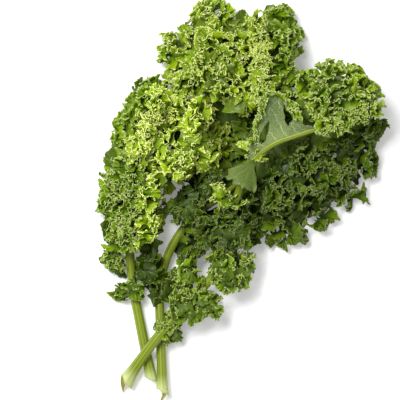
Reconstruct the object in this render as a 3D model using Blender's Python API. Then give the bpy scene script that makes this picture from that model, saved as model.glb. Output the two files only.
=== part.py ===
"""A bunch of three curly kale leaves lying on a flat surface, as cut and laid down.

Run it with blender --background --python part.py, or from Blender's text editor. Units are metres,
+Z is up and the surface that the bunch lies on is z = 0. The sizes below are in millimetres and
degrees: +Y runs from the cut stem ends to the leaf tips, and headings turn anticlockwise from +X.

Each leaf is a stem that runs on as the midrib, one ruffled blade on each side of the midrib, and
the small free leaflets that grow on the stem below the blade. A stem is a chain of arcs from its
cut end. A blade is drawn by its widths across the midrib, and a leaflet by how far up the stem it
grows and which way it points. The ruffles fill a thick springy layer, so each blade is a closed
slab with the outer shape of that layer, flat where it rests.
"""

import math
from dataclasses import dataclass

import bmesh
import bpy
from mathutils import Vector

MM = 0.001

STEM_RINGS = 40
STEM_BEVEL_RESOLUTION = 3  # ten sides
ROUTE_STEP = 2.0  # how finely a stem's chain of arcs is walked


@dataclass(frozen=True)
class Stem:
    """A stem and its midrib.

    foot is where it is cut, heading the way it starts, and each arc is (length, turn to the left).
    heights are its centre's heights at even steps from the foot to the tip. flare is how much
    thicker the cut end is than base_radius.
    """

    foot: tuple
    heading: float
    arcs: tuple
    heights: tuple
    base_radius: float
    tip_radius: float
    flare: float


@dataclass(frozen=True)
class Blade:
    """One side of a leaf's blade.

    side is +1 on the left of the midrib and -1 on its right, and it starts at a distance up the
    stem. widths are its widths at even steps from its base to its tip, and lean is how far those
    widths turn towards the tip at the base, the middle and the tip. under and over are the heights
    of the slab's faces beside the midrib and at the margin, and crown is the rise between them.
    """

    stem: str
    side: int
    start: float
    widths: tuple
    lean: tuple
    under: tuple
    over: tuple
    crown: float
    lobes: int


@dataclass(frozen=True)
class Leaflet:
    """A small lobe that spreads to both sides of its own vein.

    It grows at a distance up the stem, stands off the stem's centre, and points at an angle to the
    left of the stem's way. heights are its vein's at the foot, the middle and the tip, and curl is
    how far its sides turn up.
    """

    stem: str
    at: float
    angle: float
    stand_off: float
    length: float
    half_width: float
    thickness: float
    heights: tuple
    curl: float


STEMS = {
    "left_stem": Stem(
        foot=(-96, -174), heading=102, arcs=((80, -1), (60, -11), (150, -24)),
        heights=(6.6, 6.4, 7.5, 13, 21, 26, 28), base_radius=5.0, tip_radius=1.4, flare=1.0,
    ),
    "middle_stem": Stem(
        foot=(-85, -186), heading=92, arcs=((88, 0), (120, -60), (85, 50), (88, 16)),
        heights=(12, 8.5, 7.5, 15, 22, 27, 31, 29), base_radius=4.7, tip_radius=1.6, flare=1.5,
    ),
    "right_stem": Stem(
        foot=(-121, -176), heading=58, arcs=((120, -14), (60, 38), (55, -10), (60, -54), (94, -2)),
        heights=(9, 21, 22, 27, 36, 48, 60, 62, 55), base_radius=4.8, tip_radius=1.8, flare=3.4,
    ),
}

BLADES = {
    "left_leaf_outer_blade": Blade(
        stem="left_stem", side=1, start=135, widths=(12, 20, 26, 26, 28, 15), lean=(0, 5, 45),
        under=(0, 0), over=(40, 34), crown=16, lobes=6,
    ),
    "left_leaf_inner_blade": Blade(
        stem="left_stem", side=-1, start=135, widths=(7, 28, 24, 36, 76, 90, 75, 60), lean=(-5, 5, 15),
        under=(0, 0), over=(42, 38), crown=28, lobes=8,
    ),
    "middle_leaf_left_blade": Blade(
        stem="middle_stem", side=1, start=278, widths=(6, 10, 20, 88, 96, 80, 42), lean=(4, 6, 68),
        under=(0, 0), over=(44, 34), crown=22, lobes=7,
    ),
    "middle_leaf_right_blade": Blade(
        stem="middle_stem", side=-1, start=283, widths=(3, 6, 6, 5, 42, 54, 40), lean=(0, 14, 64),
        under=(0, 0), over=(42, 32), crown=20, lobes=6,
    ),
    "right_leaf_upper_blade": Blade(
        stem="right_stem", side=1, start=295, widths=(38, 46, 53, 52, 44, 20), lean=(8, 12, 40),
        under=(36, 22), over=(68, 58), crown=10, lobes=6,
    ),
    "right_leaf_lower_blade": Blade(
        stem="right_stem", side=-1, start=240, widths=(66, 88, 98, 80, 54, 18), lean=(-74, -10, 12),
        under=(0, 0), over=(40, 28), crown=10, lobes=8,
    ),
}

LEAFLETS = {
    "middle_leaf_lower_lobe": Leaflet(
        stem="middle_stem", at=198, angle=138, stand_off=2, length=34, half_width=17, thickness=18,
        heights=(37, 34, 25), curl=3,
    ),
    "middle_leaf_base_lobe": Leaflet(
        stem="middle_stem", at=233, angle=128, stand_off=10, length=26, half_width=13, thickness=16,
        heights=(38, 38, 35), curl=3,
    ),
    "right_leaf_folded_lobe": Leaflet(
        stem="right_stem", at=248, angle=182, stand_off=-8, length=46, half_width=15, thickness=11,
        heights=(69, 68, 62), curl=-4,
    ),
    "right_leaf_left_base_lobe": Leaflet(
        stem="right_stem", at=182, angle=100, stand_off=-20, length=50, half_width=17, thickness=12,
        heights=(46, 49, 41), curl=-2,
    ),
    "right_leaf_right_base_lobe": Leaflet(
        stem="right_stem", at=147, angle=-75, stand_off=-8, length=42, half_width=19, thickness=13,
        heights=(42, 42, 33), curl=-2,
    ),
    "right_stem_upright_leaflet": Leaflet(
        stem="right_stem", at=116, angle=80, stand_off=8, length=22, half_width=9, thickness=9,
        heights=(31, 32, 29), curl=2,
    ),
    "right_stem_upper_leaflet": Leaflet(
        stem="right_stem", at=97, angle=-44, stand_off=-16, length=48, half_width=16, thickness=9,
        heights=(35, 37, 31), curl=-3,
    ),
    "right_stem_lower_leaflet": Leaflet(
        stem="right_stem", at=84, angle=-150, stand_off=16, length=12, half_width=7, thickness=5,
        heights=(16, 16, 15.5), curl=0,
    ),
    "left_stem_upper_leaflet": Leaflet(
        stem="left_stem", at=130, angle=125, stand_off=10.5, length=17, half_width=13, thickness=13,
        heights=(9, 12, 10), curl=4,
    ),
    "left_stem_inner_leaflet": Leaflet(
        stem="left_stem", at=124, angle=-130, stand_off=11, length=11, half_width=6, thickness=8,
        heights=(8, 8, 7), curl=2,
    ),
    "left_stem_side_leaflet": Leaflet(
        stem="left_stem", at=104, angle=140, stand_off=11, length=13, half_width=5, thickness=8,
        heights=(6, 7, 6), curl=1,
    ),
    "left_stem_lower_leaflet": Leaflet(
        stem="left_stem", at=90, angle=78, stand_off=-10, length=23, half_width=7, thickness=6,
        heights=(17, 17, 13), curl=0,
    ),
    "middle_stem_left_leaflet": Leaflet(
        stem="middle_stem", at=130, angle=130, stand_off=4, length=26, half_width=13, thickness=6,
        heights=(21, 21, 18), curl=1,
    ),
    "middle_stem_right_leaflet": Leaflet(
        stem="middle_stem", at=130, angle=-128, stand_off=13, length=18, half_width=8, thickness=12,
        heights=(8, 10, 8), curl=2,
    ),
    "middle_stem_lower_leaflet": Leaflet(
        stem="middle_stem", at=106, angle=-175, stand_off=0, length=16, half_width=10, thickness=6,
        heights=(17, 17.5, 16), curl=-1,
    ),
}

BLADE_COLUMNS, BLADE_ROWS = 30, 7
LEAFLET_COLUMNS, LEAFLET_ROWS = 10, 6
MIDRIB_GAP = 4.0  # between a midrib's skin and the blade's slab
FLARE_LENGTH = 12.0  # how far up a stem its flared foot fades out
LOBE_DEPTH = 0.10  # how deep the notches between lobes cut into a blade, as a share of its width
RUFFLE_HEIGHT = 3.0  # the waves of a blade's upper face
BLADE_RIM = 0.45  # a blade's thickness at its margin, as a share of its thickness further in
LEAFLET_RIM = 0.5
BLADE_ENDS = 0.68  # a blade's thickness at its base and tip, as a share of its thickness between
LEAFLET_ENDS = 0.6
LOWEST = 0.3  # the lowest that a stem or the underside of a raised lobe comes to the surface

COLOURS = {"blade": (0.10, 0.22, 0.03), "leaflet": (0.13, 0.27, 0.05), "stem": (0.34, 0.45, 0.10)}
ROUGHNESS = {"blade": 0.6, "leaflet": 0.6, "stem": 0.42}
SHARP_ANGLE = math.radians(50)


def clear_scene():
    """Removes whatever the file holds."""
    for old in list(bpy.data.objects):
        bpy.data.objects.remove(old)


def new_material(name):
    """A Principled material in one of the bunch's three finishes."""
    material = bpy.data.materials.new(name)
    material.use_nodes = True
    shader = material.node_tree.nodes["Principled BSDF"]
    shader.inputs["Base Color"].default_value = (*COLOURS[name], 1.0)
    shader.inputs["Roughness"].default_value = ROUGHNESS[name]
    shader.inputs["Metallic"].default_value = 0.0
    material.diffuse_color = (*COLOURS[name], 1.0)
    return material


def on_curve(values, share):
    """The value at a share from 0 to 1 along the smooth curve through evenly spaced values."""
    spans = len(values) - 1
    along = min(max(share, 0.0), 1.0) * spans
    first = min(int(along), spans - 1)
    t = along - first
    a, b, c, d = (values[min(max(first + k, 0), spans)] for k in (-1, 0, 1, 2))
    return 0.5 * (2 * b + (c - a) * t + (2 * a - 5 * b + 4 * c - d) * t**2 + (3 * b - a - 3 * c + d) * t**3)


def arch(share, ends):
    """A value that is 1 halfway and falls to ends at a share of 0 and of 1."""
    return ends + (1 - ends) * math.sin(math.pi * min(max(share, 0.0), 1.0))


def towards(degrees):
    """The level direction of a heading."""
    return Vector((math.cos(math.radians(degrees)), math.sin(math.radians(degrees)), 0.0))


def stem_length(plan):
    """A stem's whole length in plan."""
    return sum(length for length, _ in plan.arcs)


def on_stem(plan, distance):
    """The centre, heading and radius of a stem at a distance from its cut end."""
    spot, heading, left = Vector((*plan.foot, 0.0)), plan.heading, distance
    for length, turn in plan.arcs:
        run = min(length, left)
        steps = max(1, math.ceil(run / ROUTE_STEP))
        for _ in range(steps):
            heading += turn * run / length / steps / 2
            spot += towards(heading) * run / steps
            heading += turn * run / length / steps / 2
        left -= run
        if left <= 0:
            break
    share = distance / stem_length(plan)
    radius = plan.tip_radius + (plan.base_radius - plan.tip_radius) * (1 - share**2)
    radius += plan.flare * math.exp(-distance / FLARE_LENGTH)
    spot.z = max(on_curve(plan.heights, share), radius + LOWEST)
    return spot, heading, radius


def stem(name, plan, material, collection):
    """A tapered stem along its chain of arcs, cut square at its foot, that runs out as the midrib."""
    curve = bpy.data.curves.new(name, "CURVE")
    curve.dimensions = "3D"
    curve.bevel_depth = 1.0
    curve.bevel_resolution = STEM_BEVEL_RESOLUTION
    curve.use_fill_caps = True
    spline = curve.splines.new("POLY")
    spline.points.add(STEM_RINGS - 1)
    for k, point in enumerate(spline.points):
        spot, _, radius = on_stem(plan, stem_length(plan) * k / (STEM_RINGS - 1))
        point.co = (*(spot * MM), 1.0)
        point.radius = radius * MM
    curve.materials.append(material)
    made = bpy.data.objects.new(name, curve)
    collection.objects.link(made)
    return made


def slab(name, columns, rows, place, material, collection):
    """A closed slab: a grid extruded once, whose corners go where place(s, t, upper) says."""
    shape = bmesh.new()
    bmesh.ops.create_grid(shape, x_segments=columns, y_segments=rows, size=0.5)
    raised = bmesh.ops.extrude_face_region(shape, geom=shape.faces[:])
    upper = {part for part in raised["geom"] if isinstance(part, bmesh.types.BMVert)}
    for corner in shape.verts:
        corner.co = place(corner.co.x + 0.5, corner.co.y + 0.5, corner in upper) * MM
    bmesh.ops.recalc_face_normals(shape, faces=shape.faces[:])
    if shape.calc_volume(signed=True) < 0:
        bmesh.ops.reverse_faces(shape, faces=shape.faces[:])
    mesh = bpy.data.meshes.new(name)
    shape.to_mesh(mesh)
    shape.free()
    mesh.materials.append(material)
    mesh.shade_smooth()
    mesh.set_sharp_from_angle(angle=SHARP_ANGLE)
    made = bpy.data.objects.new(name, mesh)
    collection.objects.link(made)
    return made


def blade(name, plan, material, collection):
    """One side of a leaf's blade, from beside the midrib out to its lobed margin."""
    midrib = STEMS[plan.stem]
    length = stem_length(midrib) - plan.start

    def place(s, t, upper):
        spot, heading, radius = on_stem(midrib, plan.start + length * s)
        square = heading + plan.side * 90
        inner = spot + towards(square) * (radius + MIDRIB_GAP)
        wave = math.sin(math.pi * plan.lobes * s)
        notch = LOBE_DEPTH * (1 - abs(wave))
        out = towards(square - plan.side * on_curve(plan.lean, s)) * on_curve(plan.widths, s)
        flat = inner + out * t * (1 - notch * t)
        under = plan.under[0] + (plan.under[1] - plan.under[0]) * t
        over = plan.over[0] + (plan.over[1] - plan.over[0]) * t
        over += (plan.crown + RUFFLE_HEIGHT * wave) * math.sin(math.pi * t)
        thickness = (over - under) * (1 - (1 - BLADE_RIM) * t**4) * arch(s, BLADE_ENDS)
        if under > 0:
            under = (over + under - thickness) / 2
        return Vector((flat.x, flat.y, under + (thickness if upper else 0.0)))

    return slab(name, BLADE_COLUMNS, BLADE_ROWS, place, material, collection)


def leaflet(name, plan, material, collection):
    """A small ruffled lobe that spreads to both sides of its own vein."""
    spot, heading, _ = on_stem(STEMS[plan.stem], plan.at)
    ahead = towards(heading + plan.angle)
    across = Vector((-ahead.y, ahead.x, 0))
    foot = spot + ahead * plan.stand_off

    def place(s, t, upper):
        side = 2 * t - 1
        spread = side * plan.half_width * arch(s, LEAFLET_ENDS)
        thickness = plan.thickness * (1 - (1 - LEAFLET_RIM) * side**2) * arch(s, LEAFLET_ENDS)
        flat = foot + ahead * plan.length * s + across * spread
        height = on_curve(plan.heights, s) + plan.curl * side**2 + (thickness if upper else -thickness) / 2
        return Vector((flat.x, flat.y, height if upper else max(height, LOWEST)))

    return slab(name, LEAFLET_COLUMNS, LEAFLET_ROWS, place, material, collection)


def centre_footprint(pieces):
    """Moves the whole bunch level, so that the middle of its footprint is the origin."""
    bpy.context.view_layer.update()
    corners = [piece.matrix_world @ Vector(corner) for piece in pieces for corner in piece.bound_box]
    middle = [(min(c[axis] for c in corners) + max(c[axis] for c in corners)) / 2 for axis in (0, 1)]
    for piece in pieces:
        piece.location -= Vector((*middle, 0.0))


def main():
    """Builds the bunch's three leaves in one collection."""
    clear_scene()
    collection = bpy.data.collections.new("kale_bunch")
    bpy.context.scene.collection.children.link(collection)
    finishes = {name: new_material(name) for name in COLOURS}
    pieces = [stem(name, plan, finishes["stem"], collection) for name, plan in STEMS.items()]
    pieces += [blade(name, plan, finishes["blade"], collection) for name, plan in BLADES.items()]
    pieces += [leaflet(name, plan, finishes["leaflet"], collection) for name, plan in LEAFLETS.items()]
    centre_footprint(pieces)


main()
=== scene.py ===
"""The looks of a loose bunch of three curly kale leaves lying on a pale surface.

Sizes are in millimetres and angles in radians unless a name says otherwise, and each finished mesh
is in metres in the frame of the CAD model: +Y towards the leaf tips, +Z up, z = 0 the surface.
Every place comes from the CAD model's own pieces. A leaf is a ribbed stalk that runs on as the
midrib, with lamina on both sides. The lamina swells into lobes, and each lobe bears small fans
whose rims are far longer than the fans are wide, so they stand in folds of three sizes.
"""

from __future__ import annotations

import logging
import math
from dataclasses import dataclass, field
from enum import Enum
from typing import Callable

import bmesh
import bpy
import numpy as np
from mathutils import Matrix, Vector


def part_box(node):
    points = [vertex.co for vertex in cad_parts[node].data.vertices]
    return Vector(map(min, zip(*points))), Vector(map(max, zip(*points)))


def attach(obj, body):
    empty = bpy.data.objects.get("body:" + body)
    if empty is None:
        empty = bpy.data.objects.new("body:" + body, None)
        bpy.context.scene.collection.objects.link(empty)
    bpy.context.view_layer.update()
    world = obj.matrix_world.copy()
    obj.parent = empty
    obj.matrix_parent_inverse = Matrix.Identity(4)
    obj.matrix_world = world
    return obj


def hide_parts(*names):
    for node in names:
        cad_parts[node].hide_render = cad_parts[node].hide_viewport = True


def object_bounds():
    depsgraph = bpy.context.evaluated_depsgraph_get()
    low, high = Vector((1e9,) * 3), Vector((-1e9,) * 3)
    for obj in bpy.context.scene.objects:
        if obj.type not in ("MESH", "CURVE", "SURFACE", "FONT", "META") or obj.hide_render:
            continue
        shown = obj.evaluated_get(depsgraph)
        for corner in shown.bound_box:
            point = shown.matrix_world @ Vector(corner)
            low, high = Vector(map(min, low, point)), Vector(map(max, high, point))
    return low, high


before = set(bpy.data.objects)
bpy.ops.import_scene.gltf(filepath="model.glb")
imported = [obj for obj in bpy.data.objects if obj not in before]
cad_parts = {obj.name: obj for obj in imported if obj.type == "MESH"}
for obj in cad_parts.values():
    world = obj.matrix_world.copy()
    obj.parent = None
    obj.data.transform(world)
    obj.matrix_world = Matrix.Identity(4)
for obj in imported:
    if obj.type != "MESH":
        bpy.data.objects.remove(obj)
CAD_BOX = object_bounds()

MM = 0.001
LOG = logging.getLogger("kale_bunch")

UP = np.array((0.0, 0.0, 1.0))

Point = tuple[float, ...]
Inputs = dict[str | int, object]
Placing = Callable[[float, float], np.ndarray]


def on_curve(points: np.ndarray, share: float) -> np.ndarray:
    """Reads the smooth curve through evenly spaced points.

    Args:
        points: The curve's points, one to a row.
        share: How far along the list, from 0 to 1.

    Returns:
        The point there.
    """
    spans = len(points) - 1
    along = min(max(share, 0.0), 1.0) * spans
    first = min(int(along), spans - 1)
    t = along - first
    before, start, end, after = (points[min(max(first + k, 0), spans)] for k in (-1, 0, 1, 2))
    line = (end - before) * t
    bend = (2 * before - 5 * start + 4 * end - after) * t**2
    twist = (3 * start - before - 3 * end + after) * t**3
    return start + 0.5 * (line + bend + twist)


def eased(value: np.ndarray, start: float, end: float) -> np.ndarray:
    """Rises smoothly from 0 at start to 1 at end."""
    share = np.clip((value - start) / (end - start), 0.0, 1.0)
    return share * share * (3 - 2 * share)


def unit(vector: np.ndarray) -> np.ndarray:
    """The same direction at length 1."""
    return vector / max(float(np.linalg.norm(vector)), 1e-9)


def rolled(ahead: np.ndarray, side: np.ndarray, turn: float) -> np.ndarray:
    """Turns a sideways way by an angle round the way ahead."""
    return side * math.cos(turn) + np.cross(ahead, side) * math.sin(turn)


def wander(along: np.ndarray, waves: float, rng: np.random.Generator) -> np.ndarray:
    """A smooth uneven line between about -1 and 1.

    Args:
        along: Places from 0 to 1.
        waves: About how many times it rises and falls over that stretch.
        rng: Where its randomness comes from.

    Returns:
        Its value at each place.
    """
    total = np.zeros_like(along)
    for share in (0.43, 0.71, 1.0, 1.37):
        total += np.sin(2 * math.pi * (waves * share * along + rng.random())) * rng.uniform(0.6, 1.0)
    return total / 2.4


# Finishes


class Slot(Enum):
    """The record's material slots."""

    LEAF = "leaf"
    STEM = "stem"


class Nodes:
    """A short way to write one material's node tree."""

    def __init__(self, name: str) -> None:
        """Starts an empty material.

        Args:
            name: Its name.
        """
        self.material = bpy.data.materials.new(name)
        self.material.use_nodes = True
        self.tree = self.material.node_tree
        self.tree.nodes.clear()
        self.out = self.add("ShaderNodeOutputMaterial")

    def add(self, kind: str, inputs: Inputs | None = None, **settings: object) -> bpy.types.Node:
        """Adds a node.

        Args:
            kind: Its type.
            inputs: For each socket that is used, the output to link to it or the value to set.
            settings: Its properties.

        Returns:
            The node.
        """
        node = self.tree.nodes.new(kind)
        for name, value in settings.items():
            setattr(node, name, value)
        for socket, value in (inputs or {}).items():
            self.put(node, socket, value)
        return node

    def put(self, node: bpy.types.Node, socket: str | int, value: object) -> None:
        """Links a socket to an output, or sets its value.

        Args:
            node: The node.
            socket: The name or number of its socket.
            value: The output or the value.
        """
        target = node.inputs[socket]
        if isinstance(value, bpy.types.NodeSocket):
            self.tree.links.new(value, target)
        else:
            target.default_value = value

    def place(self) -> bpy.types.NodeSocket:
        """Where a point is in the bunch, in metres."""
        return self.add("ShaderNodeTexCoord").outputs["Object"]

    def fan(self) -> tuple[bpy.types.NodeSocket, bpy.types.NodeSocket]:
        """Reads the fan map.

        Returns:
            How far round and how far out on its own sheet a point is.
        """
        shares = self.add("ShaderNodeUVMap", uv_map="fan").outputs["UV"]
        split = self.add("ShaderNodeSeparateXYZ", {0: shares})
        return split.outputs["X"], split.outputs["Y"]

    def noise(self, place: object, scale: float, detail: float = 3.0) -> bpy.types.NodeSocket:
        """Fractal noise at a place, as a number about 0.5."""
        inputs = {"Vector": place, "Scale": scale, "Detail": detail}
        return self.add("ShaderNodeTexNoise", inputs).outputs["Fac"]

    def spread(self, value: object, low: float, high: float, to: Point = (0, 1)) -> bpy.types.NodeSocket:
        """Maps a number from low..high to the range of to, smoothly."""
        ends = {"Value": value, "From Min": low, "From Max": high, "To Min": to[0], "To Max": to[1]}
        return self.add("ShaderNodeMapRange", ends, interpolation_type="SMOOTHSTEP").outputs["Result"]

    def math(self, operation: str, a: object, b: object = 0.0) -> bpy.types.NodeSocket:
        """One arithmetic step."""
        return self.add("ShaderNodeMath", {0: a, 1: b}, operation=operation).outputs[0]

    def mix(self, share: object, first: object, second: object) -> bpy.types.NodeSocket:
        """Mixes two colours.

        Args:
            share: How much of the second one there is.
            first: A colour, or an output that gives one.
            second: Another.

        Returns:
            The mixed colour.
        """
        node = self.add("ShaderNodeMix", {"Factor": share}, data_type="RGBA")
        for name, value in (("A", first), ("B", second)):
            place = next(k for k, i in enumerate(node.inputs) if i.name == name and i.type == "RGBA")
            self.put(node, place, value if isinstance(value, bpy.types.NodeSocket) else (*value, 1.0))
        return next(o for o in node.outputs if o.type == "RGBA")

    def rough(self, place: object, grain: float, about: float) -> bpy.types.NodeSocket:
        """Roughness that varies by a tenth from one grain to the next."""
        return self.spread(self.noise(place, grain, 2.0), 0.3, 0.7, (about - 0.1, about + 0.1))

    def skin(self, colour: object, roughness: object, gloss: float, through: float) -> None:
        """Ends the tree with plant skin.

        Args:
            colour: The output that gives its colour.
            roughness: The output that gives its roughness.
            gloss: How strongly it shines.
            through: How much of the light that falls behind it comes through.
        """
        surface = {"Base Color": colour, "Roughness": roughness, "Specular IOR Level": gloss}
        shader = self.add("ShaderNodeBsdfPrincipled", surface)
        glow = self.add("ShaderNodeBsdfTranslucent", {"Color": colour})
        both = self.add("ShaderNodeMixShader", {0: through, 1: shader.outputs[0], 2: glow.outputs[0]})
        self.put(self.out, "Surface", both.outputs[0])


@dataclass(frozen=True)
class FrillFinish:
    """The skin of the fans: deep green at the root, fresh green further out and a pale rim."""

    name: str
    root: Point
    deep: Point
    fresh: Point
    rim: Point
    rim_start: float = 0.9
    roughness: float = 0.5
    gloss: float = 0.12
    through: float = 0.30
    patches: float = 30.0
    grain: float = 300.0
    fine_grain: float = 420.0
    ragged: float = 0.10

    def material(self) -> bpy.types.Material:
        """Makes the material.

        Returns:
            The material.
        """
        n = Nodes(self.name)
        place = n.place()
        _, out = n.fan()
        lamina = n.mix(n.spread(n.noise(place, self.patches), 0.36, 0.64), self.deep, self.fresh)
        grown = n.mix(n.spread(out, 0.35, 0.85), self.root, lamina)
        uneven = n.math("SUBTRACT", n.noise(place, self.grain, 2.0), 0.5)
        edge = n.math("ADD", out, n.math("MULTIPLY", uneven, self.ragged))
        colour = n.mix(n.spread(edge, self.rim_start, 1.0), grown, self.rim)
        n.skin(colour, n.rough(place, self.fine_grain, self.roughness), self.gloss, self.through)
        return n.material


@dataclass(frozen=True)
class LaminaFinish:
    """The skin of the smooth lamina between the fans: veins spread out from the root of each sheet."""

    name: str
    deep: Point
    fresh: Point
    vein: Point
    veins: float = 5.0
    net: float = 420.0
    roughness: float = 0.45
    gloss: float = 0.3
    through: float = 0.2
    patches: float = 40.0
    grain: float = 300.0
    swerve: float = 120.0

    def material(self) -> bpy.types.Material:
        """Makes the material.

        Returns:
            The material.
        """
        n = Nodes(self.name)
        place = n.place()
        round_, out = n.fan()
        lamina = n.mix(n.spread(n.noise(place, self.patches), 0.35, 0.65), self.deep, self.fresh)
        swerve = n.math("MULTIPLY", n.noise(place, self.swerve), 0.5)
        ray = n.math("ADD", round_, n.math("MULTIPLY", swerve, out))
        ray = n.math("MULTIPLY", ray, self.veins * math.pi)
        main = n.spread(n.math("ABSOLUTE", n.math("SINE", ray)), 0.0, 0.16, (0.8, 0.0))
        net = {"Vector": place, "Scale": self.net}
        cells = n.add("ShaderNodeTexVoronoi", net, feature="DISTANCE_TO_EDGE")
        fine = n.spread(cells.outputs["Distance"], 0.0, 0.14, (0.25, 0.0))
        colour = n.mix(n.math("MAXIMUM", main, fine), lamina, self.vein)
        n.skin(colour, n.rough(place, self.grain, self.roughness), self.gloss, self.through)
        return n.material


@dataclass(frozen=True)
class StalkFinish:
    """Stalk skin: pale ribs over green, paler at the cut foot, from its mesh's own map."""

    name: str
    rib: Point
    furrow: Point
    foot: Point
    stripes: int = 9
    roughness: float = 0.36
    gloss: float = 0.35
    through: float = 0.08
    streaks: float = 90.0
    grain: float = 300.0

    def material(self) -> bpy.types.Material:
        """Makes the material.

        Returns:
            The material.
        """
        n = Nodes(self.name)
        place = n.place()
        round_, along = n.fan()
        stripes = n.math("ABSOLUTE", n.math("SINE", n.math("MULTIPLY", round_, self.stripes * math.pi)))
        uneven = n.math("ADD", stripes, n.math("MULTIPLY", n.noise(place, self.streaks), 0.8))
        skin = n.mix(n.spread(uneven, 0.5, 1.3), self.furrow, self.rib)
        colour = n.mix(n.spread(along, 0.0, 0.05, (1.0, 0.0)), skin, self.foot)
        rough = (self.roughness - 0.08, self.roughness + 0.1)
        rough = n.spread(n.noise(place, self.grain), 0.3, 0.7, rough)
        n.skin(colour, rough, self.gloss, self.through)
        return n.material


@dataclass(frozen=True)
class FloorFinish:
    """The plain pale surface under the bunch."""

    name: str = "pale_surface"
    colour: Point = (0.93, 0.93, 0.93)
    glow: float = 0.2
    roughness: float = 0.9

    def material(self) -> bpy.types.Material:
        """Makes the material.

        Returns:
            The material.
        """
        n = Nodes(self.name)
        base = {"Base Color": (*self.colour, 1.0), "Roughness": self.roughness}
        glow = {"Emission Color": (1.0, 1.0, 1.0, 1.0), "Emission Strength": self.glow}
        n.put(n.out, "Surface", n.add("ShaderNodeBsdfPrincipled", base | glow).outputs[0])
        return n.material


# The CAD model's pieces, as places

TRIES = 5000  # places tried while scattering
FOOT_REACH = 15.0  # how far up from its lowest point a rod's cut end is looked for


@dataclass
class Form:
    """The outside of one CAD piece, in millimetres."""

    node: str
    shape: bmesh.types.BMesh = field(init=False)

    def __post_init__(self) -> None:
        """Copies the piece's mesh and merges its loose triangles."""
        self.shape = bmesh.new()
        self.shape.from_mesh(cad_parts[self.node].data)
        bmesh.ops.remove_doubles(self.shape, verts=self.shape.verts[:], dist=1e-6)
        bmesh.ops.scale(self.shape, vec=(1 / MM, 1 / MM, 1 / MM), verts=self.shape.verts[:])
        bmesh.ops.triangulate(self.shape, faces=self.shape.faces[:])
        self.shape.normal_update()

    def sites(
        self, spacing: float, lowest: float, rng: np.random.Generator
    ) -> tuple[np.ndarray, np.ndarray]:
        """Scatters places over the outside, none nearer to another than the spacing.

        Args:
            spacing: The least distance between two places.
            lowest: How far down the outside may face, from -1 straight down to 1 straight up.
            rng: Where its randomness comes from.

        Returns:
            The places, and the outward direction at each.
        """
        corners = np.array([[v.co for v in face.verts] for face in self.shape.faces])
        facing = np.array([[v.normal for v in face.verts] for face in self.shape.faces])
        area = np.array([face.calc_area() for face in self.shape.faces])
        chosen = rng.choice(len(area), size=TRIES, p=area / area.sum())
        share = rng.dirichlet((1.0, 1.0, 1.0), size=TRIES)[:, :, None]
        spots = (corners[chosen] * share).sum(axis=1)
        ways = (facing[chosen] * share).sum(axis=1)
        ways /= np.linalg.norm(ways, axis=1, keepdims=True)
        kept: list[int] = []
        for k in np.flatnonzero(ways[:, 2] > lowest):
            if not kept or np.linalg.norm(spots[kept] - spots[k], axis=1).min() >= spacing:
                kept.append(int(k))
        return spots[kept], ways[kept]


@dataclass
class Route:
    """The way that a CAD rod runs, from its cut foot to its tip."""

    node: str
    rings: np.ndarray = field(init=False)

    def __post_init__(self) -> None:
        """Reads the rod's centres and radii, ring by ring from its foot."""
        shape = Form(self.node).shape
        lowest = min(vert.co.y for vert in shape.verts)
        foot = [face for face in shape.faces if face.calc_center_median().y < lowest + FOOT_REACH]
        back = min(foot, key=lambda face: face.normal.y).normal
        caps = [face for face in foot if face.normal.dot(back) > 0.999]
        layer = {vert for face in caps for vert in face.verts}
        seen: set[bmesh.types.BMVert] = set()
        rings: list[list[float]] = []
        while layer:
            seen |= layer
            spots = np.array([vert.co for vert in layer])
            centre = spots.mean(axis=0)
            rings.append([*centre, float(np.linalg.norm(spots - centre, axis=1).mean())])
            layer = {edge.other_vert(vert) for vert in layer for edge in vert.link_edges} - seen
        shape.free()
        self.rings = np.array(rings)

    def at(self, share: float) -> tuple[np.ndarray, np.ndarray, np.ndarray, float]:
        """Reads a place on the rod.

        Args:
            share: How far along it, from 0 to 1, or past 1 for a place straight on from its tip.

        Returns:
            The centre, the way ahead, the level way to the left, and the radius.
        """
        *spot, radius = on_curve(self.rings, share)
        back = min(share, 1.0) - 0.02
        ahead = unit((on_curve(self.rings, back + 0.03) - on_curve(self.rings, back))[:3])
        left = unit(np.cross((0.0, 0.0, 1.0), ahead))
        past = max(share - 1.0, 0.0) * self.length()
        return np.array(spot) + ahead * past, ahead, left, float(radius)

    def patch(self, share: float, aside: float, radius: float, depth: float = math.inf) -> Patch:
        """Lays a patch beside the rod.

        Args:
            share: How far along the rod, from 0 to 1.
            aside: How far to the left of it the patch's middle is.
            radius: The patch's radius.
            depth: How much deeper fans stand there.

        Returns:
            The patch.
        """
        spot, _, left, _ = self.at(share)
        return Patch(spot + left * aside, radius, depth)

    def length(self) -> float:
        """How long the rod is."""
        return float(np.linalg.norm(np.diff(self.rings[:, :3], axis=0), axis=1).sum())


@dataclass(frozen=True)
class Patch:
    """A round patch of the bunch, seen from above, where the leaf lies deeper than the CAD form, and its
    fans are painted darker as shade.

    Attributes:
        middle: Its middle.
        radius: Its radius.
        depth: How much deeper fans stand there, or infinity where something smooth keeps them away.
    """

    middle: np.ndarray
    radius: float
    depth: float = math.inf

    def drop(self, spot: np.ndarray) -> float:
        """How much deeper a fan at this spot stands."""
        return self.depth if float(np.linalg.norm((spot - self.middle)[:2])) < self.radius else 0.0

    def crossed(self, fan: Fan) -> bool:
        """Tells whether a fan reaches over the patch.

        Args:
            fan: The fan.

        Returns:
            Whether it does, seen from above.
        """
        aside = (self.middle - fan.root)[:2]
        ahead = fan.ahead[:2]
        along = min(max(float(aside @ ahead), 0.0), fan.reach)
        return float(np.linalg.norm(aside - along * ahead)) < self.radius + fan.spread * along * 0.7


# Frills


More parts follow.
